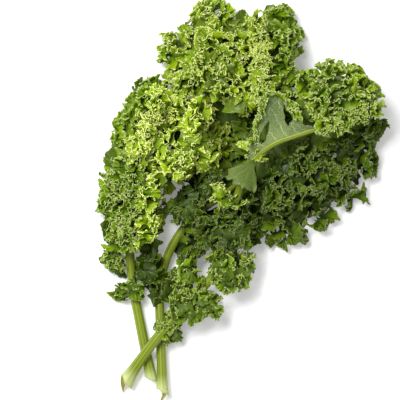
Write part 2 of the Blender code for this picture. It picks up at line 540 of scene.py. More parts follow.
@dataclass(frozen=True)
class Fold:
    """One size of fold in a fan's rim.

    Attributes:
        spacing: How far apart the folds stand, measured along the plain rim.
        bend: How far the rim turns from its run at each fold.
        starts: Where on the way out from the root the folds start.
        full: Where they are fully grown.
    """

    spacing: float
    bend: float
    starts: float
    full: float


CURLY = (Fold(17.0, 1.2, 0.15, 0.85), Fold(4.3, 1.45, 0.45, 0.97), Fold(1.15, 1.35, 0.74, 1.0))
SMALL_CURLY = (Fold(10.0, 1.2, 0.15, 0.85), Fold(3.6, 1.35, 0.45, 0.97), Fold(1.05, 1.3, 0.74, 1.0))
WAVY = (Fold(24.0, 0.8, 0.2, 1.0), Fold(7.5, 0.9, 0.5, 1.0))
ROWS = (0.06, 0.34, 0.58, 0.76, 0.87, 0.945, 1.0)
COLUMNS_PER_FINE_FOLD = 4.6
FIRST_SPLIT, SECOND_SPLIT = 2, 4  # the rows past which a fan's columns double
COLUMN_STEP = 12
LEAF_THICKNESS = 0.5
SOFT_FLOOR = 4.0  # below this height leaf is pressed together by the surface it lies on
LEAST_HEIGHT = 0.4  # no leaf's middle layer lies nearer to the surface than this
LEAST_ROOT = 1.5  # and no fan's root lower than this
PAINTED_SHADE_SHEET_SKIN, PAINTED_HOLLOW_SKIN = 2, 4  # where the sheets' skins, painted darker as shade, and the skins painted darker as shade for fans sunk in hollows stand in a piece's list
LEAST_RUN = 0.13  # the least share of a folded rim's own length that it gets ahead
DRIFT, STRENGTH_DRIFT = 0.35, 0.22  # how unevenly folds stand along a rim and bend it
ROOT_WIDTH = 0.35  # how much of its opening a fan has at its root
NOTCHES = ((0.07, 11.0), (0.03, 3.5))  # how deep and how far apart a rim's large and small notches are
SHOULDER = 0.14  # how much shorter a fan is at its sides
CREST_REACH = 0.45  # how far the crests of the finest folds stand out past the rim
RIM_FADE = 0.09  # how much of the pale rim is lost between those crests


def flat_grid(columns: int, rows: int) -> bmesh.types.BMesh:
    """Makes a flat grid from -0.5 to 0.5 both ways.

    Args:
        columns: How many columns it has.
        rows: How many rows it has.

    Returns:
        The grid.
    """
    shape = bmesh.new()
    bmesh.ops.create_grid(shape, x_segments=columns, y_segments=rows, size=0.5)
    return shape


def finished(name: str, shape: bmesh.types.BMesh, finishes: list[bpy.types.Material]) -> bpy.types.Mesh:
    """Turns a shape into a mesh with its finishes.

    Args:
        name: The mesh's name.
        shape: The shape, in metres, which is freed.
        finishes: Its materials in order.

    Returns:
        The mesh.
    """
    mesh = bpy.data.meshes.new(name)
    shape.to_mesh(mesh)
    shape.free()
    for material in finishes:
        mesh.materials.append(material)
    return mesh


def fan_blank(columns: int) -> bpy.types.Mesh:
    """A flat grid whose columns double twice on the way from root to rim.

    Args:
        columns: How many columns it has at the rim.

    Returns:
        A mesh whose points stand at (column share, row share), both less a half.
    """
    name = f"fan_blank_{columns}"
    if name in bpy.data.meshes:
        return bpy.data.meshes[name]
    last = len(ROWS) - 1
    shape = flat_grid(columns // 4, last)
    for split in (FIRST_SPLIT, SECOND_SPLIT):
        level = (split - 0.5) / last - 0.5
        across = [
            edge for edge in shape.edges
            if abs(edge.verts[0].co.y - edge.verts[1].co.y) < 1e-6 and edge.verts[0].co.y > level
        ]
        bmesh.ops.subdivide_edges(shape, edges=across, cuts=1)
    return finished(name, shape, [])


@dataclass
class Fan:
    """A small fan of leaf with a folded rim.

    Attributes:
        root: Where it grows from.
        ahead: The way from its root to the middle of its rim.
        across: The way its plain rim runs.
        reach: How long it is.
        spread: Half its opening.
        arch: How far it bends over from root to rim.
        seed: Its own unevenness.
        folds: Its folds, largest first.
        skin: Which of its piece's finishes is on its upper side.
    """

    root: np.ndarray
    ahead: np.ndarray
    across: np.ndarray
    reach: float
    spread: float
    arch: float
    seed: int
    folds: tuple[Fold, ...] = CURLY
    skin: int = 0
    crest: np.ndarray = field(init=False)

    def mesh(self) -> bpy.types.Mesh:
        """Makes the fan.

        Returns:
            Its open surface, in metres, with its fan map.
        """
        rng = np.random.default_rng(self.seed)
        rim = 2 * self.spread * self.reach
        fine = min(fold.spacing for fold in self.folds)
        columns = int(math.ceil(COLUMNS_PER_FINE_FOLD * rim / fine / COLUMN_STEP)) * COLUMN_STEP
        made = fan_blank(columns).copy()
        flat = np.empty(len(made.vertices) * 3, np.float32)
        made.vertices.foreach_get("co", flat)
        flat = flat.reshape(-1, 3)
        column = np.rint((flat[:, 0] + 0.5) * columns).astype(int)
        row = np.rint((flat[:, 1] + 0.5) * (len(ROWS) - 1)).astype(int)
        places = self.surface(columns, rim, rng)
        made.vertices.foreach_set("co", (places[row, column] * MM).astype(np.float32).ravel())
        pale = self.crest[column] * eased(np.array(ROWS)[row], 0.8, 1.0)
        share = np.stack([column / columns, np.array(ROWS)[row] - RIM_FADE * pale], axis=1)
        corner = np.empty(len(made.loops), np.int32)
        made.loops.foreach_get("vertex_index", corner)
        made.uv_layers.new(name="fan").data.foreach_set("uv", share[corner].astype(np.float32).ravel())
        made.polygons.foreach_set("material_index", np.full(len(made.polygons), self.skin, np.int32))
        made.update()
        return made

    def surface(self, columns: int, rim: float, rng: np.random.Generator) -> np.ndarray:
        """Works out where the fan's grid lies.

        Args:
            columns: How many columns there are at the rim.
            rim: The plain rim's length.
            rng: Where its unevenness comes from.

        Returns:
            A point for each row and column.
        """
        q = np.linspace(0.0, 1.0, columns + 1)[None, :]
        t = np.array(ROWS)[:, None]
        turn = np.zeros((len(ROWS), columns + 1))
        for fold in self.folds:
            waves = rim / fold.spacing
            phase = waves * q + rng.random() + DRIFT * wander(q, waves * 0.4, rng)
            strength = 1.0 + STRENGTH_DRIFT * wander(q, waves * 0.5, rng)
            turn += fold.bend * strength * eased(t, fold.starts, fold.full) * np.sin(2 * math.pi * phase)
            crest = np.sin(2 * math.pi * phase)
        half = self.spread * (ROOT_WIDTH + (1 - ROOT_WIDTH) * eased(t, 0.0, 0.6)) * self.reach * t
        run = np.cumsum(np.cos(turn), axis=1)
        off = np.cumsum(np.sin(turn), axis=1)
        run -= run[:, :1]
        scale = 2 * half / np.maximum(run[:, -1:], LEAST_RUN * columns)
        along = (run - run[:, -1:] / 2) * scale
        off = (off - off[:, :1]) * scale
        off -= q * off[:, -1:]
        off -= off.mean(axis=1, keepdims=True)
        outline = 1.0
        for depth, apart in NOTCHES:
            outline = outline + depth * wander(q, rim / apart, rng)
        shoulder = 1.0 - SHOULDER * (2 * q - 1) ** 4
        out = self.reach * t * (1 + (outline * shoulder - 1) * eased(t, 0.2, 1.0))
        self.crest = 0.5 - 0.5 * crest[0]
        out = out + CREST_REACH * crest * eased(t, 0.8, 1.0)
        return self.placed(along / (self.reach * t), out, off)

    def placed(self, angle: np.ndarray, out: np.ndarray, off: np.ndarray) -> np.ndarray:
        """Bends the fan into its place in the bunch.

        Args:
            angle: Each point's ray.
            out: How far out along its ray it is.
            off: How far it stands off the fan's plain surface.

        Returns:
            The points.
        """
        above = np.cross(self.ahead, self.across)
        bend = self.arch if abs(self.arch) > 1e-3 else 1e-3
        slope = bend * out / self.reach
        run = self.reach * np.sin(slope) / bend
        climb = self.reach * (1 - np.cos(slope)) / bend
        ray = self.ahead * np.cos(angle)[..., None] + self.across * np.sin(angle)[..., None]
        normal = above * np.cos(slope)[..., None] - ray * np.sin(slope)[..., None]
        spots = self.root + ray * run[..., None] + above * climb[..., None] + normal * off[..., None]
        low = spots[..., 2]
        give = SOFT_FLOOR - LEAST_HEIGHT
        pressed = LEAST_HEIGHT + give * np.exp(np.minimum((low - SOFT_FLOOR) / give, 0.0))
        spots[..., 2] = np.where(low < SOFT_FLOOR, pressed, low)
        return spots


@dataclass(frozen=True)
class Growth:
    """How fans and the smooth sheets under them grow over one kind of leaf piece.

    Attributes:
        lobe: How far apart the lobes stand.
        spacing: How far apart the fans stand on them.
        reach: The shortest and longest fan.
        spread: The narrowest and widest half opening.
        rise: How far the tops of the lobes stand over the CAD surface.
        aside: How much further out than that the fans at the sides reach.
        valley: How far the fans drop between the lobes.
        lowest: How far down fans may face.
        lean: How strongly fans lean away from the tops of the lobes.
        sway: How unevenly they stand.
        arch: The least and the most that they bend over.
        folds: The folds of the fans' rims.
        sheet: The length of the smooth sheets.
        sunk: How deep under the CAD surface the upper ones lie.
        ground: How high up the piece the lowest ones lie, as a share of its height there.
    """

    lobe: float = 34.0
    spacing: float = 9.3
    reach: Point = (14.0, 19.0)
    spread: Point = (0.50, 0.70)
    rise: float = 3.0
    aside: float = 7.0
    valley: float = 6.5
    lowest: float = -0.2
    lean: float = 0.8
    sway: float = 0.3
    arch: Point = (-0.8, 0.8)
    folds: tuple[Fold, ...] = CURLY
    sheet: float = 24.0
    sunk: float = 11.0
    ground: float = 0.3


BLADE_GROWTH = Growth()
LEAFLET_GROWTH = Growth(
    lobe=16.0, spacing=6.6, reach=(8.0, 12.0), spread=(0.55, 0.75), rise=1.0, aside=5.0, valley=3.0,
    lowest=-0.3, folds=SMALL_CURLY, sheet=13.0, sunk=2.5,
)
TOOTHED_GROWTH = Growth(
    lobe=16.0, spacing=8.0, reach=(10.0, 15.0), spread=(0.6, 0.8), rise=0.5, aside=4.0, valley=2.0,
    lowest=0.0, folds=(Fold(14.0, 0.7, 0.3, 1.0), Fold(4.0, 0.9, 0.7, 1.0)), sheet=15.0, sunk=1.0,
)
MOST_FANS = 60  # a larger piece is made as several, so that no mesh gets too heavy
LOBE_RADIUS = 0.55  # a lobe's radius, as a share of how far apart the lobes stand
FARTHEST = 1.3  # the lowest that fans drop between lobes, in lobe radii from its middle
BAKE_MAP = "OFBake"  # the map laid out for baking a piece's finish through
CELL_GAP = 0.05  # the free border round a sheet's cell on that map, as a share of the cell


def lay_out(mesh: bpy.types.Mesh, cell: int = 0, cells: int = 1) -> None:
    """Gives a sheet its own cell on the bake map, in the half for upper sides.

    Args:
        mesh: The sheet, with its own fan map.
        cell: Which cell it gets.
        cells: How many cells its piece needs.
    """
    wide = max(round(math.sqrt(cells / 2)), 1)
    tall = math.ceil(cells / wide)
    places = np.empty(len(mesh.loops) * 2, np.float32)
    mesh.uv_layers["fan"].data.foreach_get("uv", places)
    places = places.reshape(-1, 2) * (1 - 2 * CELL_GAP) + CELL_GAP + (cell % wide, cell // wide)
    places = (places / (2 * wide, tall)).astype(np.float32)
    mesh.uv_layers.new(name=BAKE_MAP).data.foreach_set("uv", places.ravel())


def linked(name: str, data: bpy.types.ID) -> bpy.types.Object:
    """Stands a mesh, light or camera in the scene.

    Args:
        name: The object's name.
        data: What it shows.

    Returns:
        The object, at the origin.
    """
    made = bpy.data.objects.new(name, data)
    bpy.context.scene.collection.objects.link(made)
    return made


def draped(shape: bmesh.types.BMesh, place: Placing, out: float = 1.0) -> None:
    """Gives a grid its fan map and lays each of its points in its place in the bunch.

    Args:
        shape: The grid.
        place: Gives a point's place, in millimetres, from its shares across and out.
        out: How far out on the fan map the grid reaches.
    """
    uv = shape.loops.layers.uv.new("fan")
    for face in shape.faces:
        for loop in face.loops:
            loop[uv].uv = (loop.vert.co.x + 0.5, out * (loop.vert.co.y + 0.5))
    for vert in shape.verts:
        vert.co = Vector(place(vert.co.x + 0.5, vert.co.y + 0.5) * MM)


def wall(made: bpy.types.Object, thickness: float) -> None:
    """Gives a sheet its thickness, and its under side the other half of the bake map.

    Args:
        made: The sheet.
        thickness: How thick it gets.
    """
    solidify = made.modifiers.new("thickness", "SOLIDIFY")
    solidify.thickness = thickness * MM
    solidify.offset = 0.0
    solidify.material_offset = 1
    graph = bpy.context.evaluated_depsgraph_get()
    mesh = bpy.data.meshes.new_from_object(
        made.evaluated_get(graph), preserve_all_data_layers=True, depsgraph=graph
    )
    sheet = made.data
    made.modifiers.clear()
    made.data = mesh
    bpy.data.meshes.remove(sheet)
    mesh.name = made.name
    skins = np.empty(len(mesh.polygons), np.int32)
    corners = np.empty(len(mesh.polygons), np.int32)
    places = np.empty(len(mesh.loops) * 2, np.float32)
    mesh.polygons.foreach_get("material_index", skins)
    mesh.polygons.foreach_get("loop_total", corners)
    mesh.uv_layers[BAKE_MAP].data.foreach_get("uv", places)
    places[::2] += 0.5 * np.repeat(skins % 2, corners)
    mesh.uv_layers[BAKE_MAP].data.foreach_set("uv", places)
    LOG.info("%s: %d triangles", made.name, int((corners - 2).sum()))


def leaf_object(
    name: str,
    shape: bmesh.types.BMesh,
    finishes: list[bpy.types.Material],
    thickness: float = LEAF_THICKNESS,
) -> bpy.types.Object:
    """Makes an open sheet a leaf of real thickness that rides with the bunch.

    Args:
        name: The piece's name.
        shape: The sheet, in metres, which is freed.
        finishes: For each skin that the sheet uses, its upper and then its under side.
        thickness: How thick it is.

    Returns:
        The piece.
    """
    mesh = finished(name, shape, finishes)
    if BAKE_MAP not in mesh.uv_layers:
        lay_out(mesh)
    mesh.shade_smooth()
    made = linked(name, mesh)
    wall(made, thickness)
    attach(made, "root")
    return made


def joined(name: str, grown: list[Fan], finishes: list[bpy.types.Material]) -> bpy.types.Object:
    """Joins fans in one leaf object, each with its own cell on the bake map.

    Args:
        name: The piece's name.
        grown: The fans.
        finishes: For each skin that they use, its upper and then its under side.

    Returns:
        The piece.
    """
    shape = bmesh.new()
    for cell, fan in enumerate(grown):
        sheet = fan.mesh()
        lay_out(sheet, cell, len(grown))
        shape.from_mesh(sheet)
        bpy.data.meshes.remove(sheet)
    return leaf_object(name, shape, finishes)


@dataclass(frozen=True)
class Stretch:
    """A stretch of stalk or midrib with fans along it.

    Attributes:
        node: The CAD rod.
        start: Where on it the fans start, as a share of its length.
        end: Where they end, past 1 where leaf runs on over the rod's tip.
        sides: On which sides they stand, 1 for the left and -1 for the right of the way to the tip.
        aside: How far from the rod's skin their roots stand.
        step: How far apart they stand.
        reach: The shortest and longest fan.
        height: How far over the rod's middle the fans' middles stand.
        bare: How much earlier than the fans the low sheets start, as a share of the rod's length.
        low: How high up the rod the low sheets lie, as a share of its height.
        folds: The folds of the fans' rims.
    """

    node: str
    start: float
    end: float
    sides: tuple[int, ...] = (1, -1)
    aside: float = 0.0
    step: float = 5.5
    reach: Point = (13.0, 17.0)
    height: float = 9.0
    bare: float = 0.0
    low: float = 0.45
    folds: tuple[Fold, ...] = CURLY


@dataclass
class MidribRuffles:
    """Fans along a midrib, which hide it from above, and low smooth sheets under them.

    Attributes:
        route: The midrib's rod.
        stretch: The stretch of it.
        seed: Its own unevenness.
        patches: Where its fans stand deeper, painted darker as shade, or don't grow.
        lean: The least and the most that its fans lean out from upright.
        sway: How unevenly they lean along the midrib.
        opening: The narrowest and widest half opening.
        arch: The least and the most that they bend over.
        sheet_step: How far apart the smooth sheets stand.
        sheet_reach: The shortest and longest of them, beside the shortest fan.
    """

    route: Route
    stretch: Stretch
    seed: int
    patches: tuple[Patch, ...]
    lean: Point = (0.3, 1.1)
    sway: float = 0.4
    opening: Point = (0.5, 0.7)
    arch: Point = (-0.8, 0.8)
    sheet_step: float = 8.0
    sheet_reach: Point = (1.6, 2.1)

    def build(self, name: str, finishes: list[bpy.types.Material]) -> bpy.types.Object:
        """Makes the ruffles.

        Args:
            name: The piece's name.
            finishes: Its skins, in the order that a leaf piece takes them.

        Returns:
            The piece.
        """
        rng = np.random.default_rng(self.seed)
        part = self.stretch
        grown: list[Fan] = []
        for side, share in self.spread(part.start, part.step, rng):
            spot, run, left, radius = self.route.at(share)
            drop = max((patch.drop(spot) for patch in self.patches), default=0.0)
            if math.isinf(drop):
                continue
            out = left * side
            ahead = unit(UP + out * rng.uniform(*self.lean) + run * rng.normal(0.0, self.sway))
            across = rolled(ahead, unit(np.cross(ahead, run)), rng.uniform(0.0, math.pi))
            reach = rng.uniform(*part.reach)
            root = spot + out * (radius + part.aside * rng.random()) - ahead * reach * 0.5
            root[2] = max(root[2] + part.height - drop, LEAST_ROOT)
            grown.append(
                Fan(
                    root=root, ahead=ahead, across=across, reach=reach,
                    spread=rng.uniform(*self.opening), arch=rng.uniform(*self.arch),
                    # fans sunk in a hollow wear the darker copy, painted shade
                    seed=self.seed * 1000 + len(grown), folds=part.folds, skin=PAINTED_HOLLOW_SKIN if drop else 0,
                )
            )
        return joined(name, grown + self.sheets(rng), finishes)

    def spread(self, start: float, step: float, rng: np.random.Generator) -> list[tuple[int, float]]:
        """Spreads places unevenly along the stretch.

        Args:
            start: Where on the rod to start.
            step: How far apart the places stand.
            rng: Where their unevenness comes from.

        Returns:
            The side and the share of the rod's length of each.
        """
        run = self.stretch.end - start
        steps = max(int(self.route.length() * run / step), 1)
        places = [(k, side) for k in range(steps) for side in self.stretch.sides]
        return [(side, start + run * (k + rng.random()) / steps) for k, side in places]

    def sheets(self, rng: np.random.Generator) -> list[Fan]:
        """Lays out the smooth sheets that reach out low beside the midrib.

        Args:
            rng: Where their unevenness comes from.

        Returns:
            The sheets.
        """
        part = self.stretch
        made: list[Fan] = []
        for side, share in self.spread(part.start - part.bare, self.sheet_step, rng):
            spot, run, left, _ = self.route.at(share)
            ahead = unit(left * side + run * rng.uniform(-0.2, 0.8))
            spot[2] = max(part.low * float(spot[2]) + rng.uniform(-2.0, 2.0), 2.0)
            made.append(
                Fan(
                    root=spot, ahead=ahead, across=np.cross(UP, ahead),
                    reach=rng.uniform(*self.sheet_reach) * part.reach[0], spread=0.8,
                    arch=rng.uniform(-0.2, 0.5), seed=self.seed * 1000 + 500 + len(made), folds=WAVY,
                    skin=PAINTED_SHADE_SHEET_SKIN,
                )
            )
        return made


@dataclass(frozen=True)
class Hole:
    """An oval hole in a sheet, in shares of the sheet's length and width."""

    along: float
    out: float
    half_along: float
    half_out: float


@dataclass
class TurnedLobe:
    """A smooth lobe along a stretch of midrib, turned over so that its pale underside shows.

    Attributes:
        route: The midrib.
        start: Where on it the lobe starts.
        end: Where the lobe ends.
        widths: How far it reaches from the midrib, at even steps along it.
        lean: How far it leans towards the leaf's tip on its way out.
        lift: How far its margin stands over the midrib.
        flat: The share of the way out up to which it has no waves.
        wave: How high its margin's waves are.
        fine: How high the fine waves on them are.
        holes: The holes in it.
        crease: How high its ribs stand at the margin.
        creases: How many ribs it has.
        ruffled: Where its ruffled margin starts and ends, and how many ruffles it has.
        bare: Where along it, how far out and how far round no fans grow under it.
        seed: Its own unevenness.
        columns: How many columns its grid has.
        rows: How many rows its grid has.
    """

    route: Route
    start: float = 0.655
    end: float = 0.85
    widths: Point = (2.0, 9.0, 15.0, 28.0, 42.0, 38.0, 24.0, 7.0, 4.0, 2.0)
    lean: float = 0.25
    lift: float = 5.0
    flat: float = 0.25
    wave: float = 3.2
    fine: float = 1.0
    holes: tuple[Hole, ...] = (Hole(0.30, 0.46, 0.08, 0.21), Hole(0.60, 0.60, 0.05, 0.25))
    crease: float = 4.0
    creases: float = 3.2
    ruffled: tuple[float, float, int] = (0.14, 0.72, 22)
    bare: tuple[Point, ...] = ((0.3, 20.0, 17.0), (0.5, 20.0, 18.0), (0.7, 8.0, 10.0), (0.88, 4.0, 7.0))
    seed: int = 71
    columns: int = 110
    rows: int = 44

    def build(self, finish: bpy.types.Material) -> bpy.types.Object:
        """Makes the lobe.

        Args:
            finish: Its skin.

        Returns:
            The lobe.
        """
        shape = flat_grid(self.columns, self.rows)
        for hole in self.holes:
            self.cut(shape, hole)
        shape.normal_update()
        draped(shape, self.place, out=0.9)
        return leaf_object("right_leaf_turned_lobe", shape, [finish, finish])

    @staticmethod
    def cut(shape: bmesh.types.BMesh, hole: Hole) -> None:
        """Cuts a hole and draws the ragged edge of its corners out to the oval.

        Args:
            shape: The lobe's flat grid.
            hole: The hole.
        """

        def ratio(vert: bmesh.types.BMVert) -> Vector:
            """Measures where a point is from the hole's middle.

            Args:
                vert: The point.

            Returns:
                The way to it, at length 1 where it is on the hole's edge.
            """
            x = (vert.co.x + 0.5 - hole.along) / hole.half_along
            aside = Vector((x, (vert.co.y + 0.5 - hole.out) / hole.half_out))
            return aside / ragged(math.atan2(aside.y, aside.x))

        def ragged(angle: float) -> float:
            """How far out the hole's edge is on one ray, beside the plain oval."""
            return 1 + 0.2 * math.sin(3 * angle + 1.0) + 0.08 * math.sin(7 * angle)

        inner = [face for face in shape.faces if all(ratio(vert).length < 1.0 for vert in face.verts)]
        bmesh.ops.delete(shape, geom=inner, context="FACES")
        for vert in shape.verts:
            spread = ratio(vert)
            if spread.length < 1.0:
                spread.normalize()
                spread *= ragged(math.atan2(spread.y, spread.x))
                vert.co.x = hole.along + spread.x * hole.half_along - 0.5
                vert.co.y = hole.out + spread.y * hole.half_out - 0.5

    def place(self, q: float, t: float) -> np.ndarray:
        """Works out where a point of the lobe lies.

        Args:
            q: Its share of the way along the midrib.
            t: Its share of the way out to the margin.

        Returns:
            The place.
        """
        spot, ahead, left, radius = self.route.at(self.start + (self.end - self.start) * q)
        width = float(on_curve(np.array(self.widths)[:, None], q)[0])
        way = unit(left + self.lean * ahead)
        wave = math.sin(2 * math.pi * 2.8 * q + 0.6) + 0.5 * math.sin(2 * math.pi * 6.7 * q + 2.1)
        edge = max(t - self.flat, 0.0) / (1 - self.flat)
        lift = self.lift * math.sin(t * math.pi / 2) * min(width / 20.0, 1.0)
        rise = 0.8 * radius + lift + self.wave * wave * edge**1.5
        rise += self.crease * t * (1 - abs(math.sin(math.pi * self.creases * (q + 0.12 * t)))) ** 2
        rise += self.fine * edge**3 * math.sin(2 * math.pi * 19 * q)
        return spot + way * (0.4 * radius + width * t + 1.5 * wave * edge) + UP * rise

    def ruffles(self, finishes: list[bpy.types.Material]) -> bpy.types.Object:
        """Makes the bright ruffles along the lobe's margin.

        Args:
            finishes: Their skins, in the order that a leaf piece takes them.

        Returns:
            The piece.
        """
        rng = np.random.default_rng(self.seed)
        grown: list[Fan] = []
        for k, q in enumerate(np.linspace(*self.ruffled)):
            rim, inner = self.place(q, 1.0), self.place(q, 0.7)
            ahead = unit(unit(rim - inner) + np.array((-0.3, 0.0, 0.9)))
            grown.append(
                Fan(
                    root=rim - ahead * 5.0, ahead=ahead, across=unit(self.place(q + 0.04, 1.0) - rim),
                    reach=rng.uniform(9.0, 12.0), spread=0.7, arch=rng.uniform(-0.6, 0.8),
                    seed=self.seed * 1000 + k, folds=SMALL_CURLY,
                )
            )
        return joined("right_leaf_turned_lobe_ruffles", grown, finishes)

    def patches(self) -> list[Patch]:
        """The places under the lobe where no fans grow."""
        run = self.end - self.start
        return [self.route.patch(self.start + run * share, out, size) for share, out, size in self.bare]


@dataclass
class Flap:
    """The smooth grey-green lobe that folds down from the midrib's start over its CAD piece.

    Attributes:
        route: The midrib.
        node: The CAD piece.
        start: Where on the midrib it grows.
        reach: Its length, as a share of the CAD piece's.
        spread: Half its opening.
        arch: How far it bends over.
        seed: Its own unevenness.
        folds: Its folds, which are low and wide.
    """

    route: Route
    node: str
    start: float = 0.67
    reach: float = 0.72
    spread: float = 0.6
    arch: float = -0.35
    seed: int = 77
    folds: tuple[Fold, ...] = (Fold(26.0, 0.55, 0.3, 1.0), Fold(5.0, 0.45, 0.85, 1.0))

    def middle(self) -> np.ndarray:
        """The top of the CAD piece's middle."""
        low, high = (np.array(corner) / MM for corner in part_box(self.node))
        return np.array(((low[0] + high[0]) / 2, (low[1] + high[1]) / 2, high[2]))

    def build(self, finish: bpy.types.Material) -> bpy.types.Object:
        """Makes the flap.

        Args:
            finish: Its skin.

        Returns:
            The flap.
        """
        low, high = (np.array(corner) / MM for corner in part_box(self.node))
        foot, _, _, radius = self.route.at(self.start)
        foot = foot + UP * 0.8 * radius
        aim = self.middle() + np.array((-0.1 * (high[0] - low[0]), -0.1 * (high[1] - low[1]), 4.0))
        ahead = unit(aim - foot)
        fan = Fan(
            root=foot, ahead=ahead, across=unit(np.cross(UP, ahead)),
            reach=self.reach * float(high[1] - low[1]), spread=self.spread, arch=self.arch,
            seed=self.seed, folds=self.folds,
        )
        return joined("right_leaf_flap", [fan], [finish, finish])

    def patches(self) -> list[Patch]:
        """The places under the flap where no fans grow."""
        foot, *_ = self.route.at(self.start)
        return [Patch(self.middle(), 18.0), Patch(0.6 * foot + 0.4 * self.middle(), 13.0)]


@dataclass
class Sliver:
    """A curved pointed strip of skin left hanging from a cut stalk.

    Attributes:
        route: The stalk.
        length: How long it is.
        width: How wide it is where it leaves the stalk.
        side: Which way it curls, 1 to the left of the stalk's way and -1 to its right.
        thickness: How thick it is.
        columns: How many columns its grid has.
        rows: How many rows its grid has.
    """

    route: Route
    length: float
    width: float
    side: int
    thickness: float = 1.1
    columns: int = 6
    rows: int = 18

    def build(self, finish: bpy.types.Material) -> bpy.types.Object:
        """Makes the sliver.

        Args:
            finish: Its skin.

        Returns:
            The sliver.
        """
        shape = flat_grid(self.columns, self.rows)
        draped(shape, self.place)
        name = self.route.node + "_sliver"
        return leaf_object(name, shape, [finish, finish], self.thickness)

    def place(self, q: float, t: float) -> np.ndarray:
        """Works out where a point of the sliver lies.

        Args:
            q: Its share of the way across.
            t: Its share of the way to the tip.

        Returns:
            The place.
        """
        spot, ahead, left, radius = self.route.at(0.0)
        across = q - 0.5
        half = self.width * across * (1 - t) ** 0.7
        curl = self.side * self.length * 0.45 * t**2
        cupped = 1.5 * (2 * across) ** 2 * (1 - t)
        lie = spot - ahead * (self.length * t - 3.0) + left * (half + self.side * radius * 0.4 - curl)
        lie[2] = max(spot[2] + radius * 0.5 * (1 - t) - spot[2] * 0.6 * t + cupped, 1.0)
        return lie


@dataclass
class LeafPiece:
    """One blade, lobe or leaflet: fans all over its CAD piece's form, and smooth sheets under them.

    Attributes:
        node: The CAD piece.
        growth: How its leaf grows.
        seed: Its own unevenness.
        patches: Where its fans stand deeper, painted darker as shade, or don't grow.
        window: Where nothing of it may reach over.
    """

    node: str
    growth: Growth
    seed: int
    patches: tuple[Patch, ...]
    window: Patch

    def build(self, finishes: list[bpy.types.Material]) -> list[bpy.types.Object]:
        """Makes the piece.

        Args:
            finishes: Upper and under skins of the fans, of the smooth sheets, painted darker as shade,
                and of the fans sunk in hollows, painted darker still as shade.

        Returns:
            Its meshes, one for each band of the piece.
        """
        form = Form(self.node)
        rng = np.random.default_rng(self.seed)
        fans = self.fans(form, rng)
        grown = [fan for fan in fans + self.sheets(form, rng) if not self.window.crossed(fan)]
        form.shape.free()
        bands = math.ceil(len(fans) / MOST_FANS)
        grown.sort(key=lambda fan: float(fan.root[1]))
        size = math.ceil(len(grown) / bands)
        made = []
        for band in range(bands):
            name = f"{self.node}_frills_{band + 1}" if bands > 1 else f"{self.node}_frills"
            piece = joined(name, grown[band * size : (band + 1) * size], finishes)
            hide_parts(self.node)
            made.append(piece)
        LOG.info("%s: %d fans, %d sheets, %d bands", self.node, len(fans), len(grown) - len(fans), bands)
        return made

    def fans(self, form: Form, rng: np.random.Generator) -> list[Fan]:
        """Lays out the fans over the lobes.

        Args:
            form: The CAD piece.
            rng: Where their unevenness comes from.

        Returns:
            The fans.
        """
        g = self.growth
        tops, _ = form.sites(g.lobe, 0.3, rng)
        spots, ways = form.sites(g.spacing, g.lowest, rng)
        made: list[Fan] = []
        for k, (spot, way) in enumerate(zip(spots, ways)):
            drop = max(patch.drop(spot) for patch in self.patches)
            if math.isinf(drop):
                continue
            aside = spot - tops
            near = int(np.argmin(np.linalg.norm(aside, axis=1)))
            share = aside[near] / (g.lobe * LOBE_RADIUS)
            far = min(float(np.linalg.norm(share)), FARTHEST)
            ahead = unit(way + g.lean * share + rng.normal(0.0, g.sway, 3))
            reach = rng.uniform(*g.reach)
            level = 1.0 - abs(float(way[2]))
            rim = spot + way * (g.rise + g.aside * level - g.valley * far**2)
            rim[2] -= drop
            root = rim - ahead * reach
            root[2] = max(root[2], LEAST_ROOT)
            ahead = unit(rim - root)
            turn = rng.uniform(0.0, math.pi)
            across = rolled(ahead, unit(np.cross(ahead, (0.3, 0.2, 1.0))), turn)
            made.append(
                Fan(
                    root=root, ahead=ahead, across=across, reach=reach, spread=rng.uniform(*g.spread),
                    arch=rng.uniform(*g.arch), seed=self.seed * 1000 + k, folds=g.folds,
                    # fans sunk in a hollow wear the darker copy, painted shade
                    skin=PAINTED_HOLLOW_SKIN if drop else 0,
                )
            )
        return made

    def sheets(self, form: Form, rng: np.random.Generator) -> list[Fan]:
        """Lays out the smooth sheets that close the ground under the fans.

        Args:
            form: The CAD piece.
            rng: Where their unevenness comes from.

        Returns:
            The sheets.
        """
        g = self.growth
        spots, ways = form.sites(g.sheet * 0.5, 0.1, rng)
        made: list[Fan] = []
        for k, (spot, way) in enumerate(zip(spots, ways)):
            flat = unit(np.cross(way, rng.normal(0.0, 1.0, 3)))
            root = spot - way * g.sunk - flat * g.sheet * 0.55
            covered = any(math.isinf(patch.drop(spot)) for patch in self.patches)
            if k % 2 or covered:
                root[2] *= g.ground
            root[2] = max(root[2], LEAST_ROOT)
            made.append(
                Fan(
                    root=root, ahead=flat, across=np.cross(way, flat), reach=g.sheet, spread=0.85,
                    arch=rng.uniform(-0.6, 0.2), seed=self.seed * 1000 + 500 + k, folds=WAVY,
                    skin=PAINTED_SHADE_SHEET_SKIN,
                )
            )
        return made


# Stalks


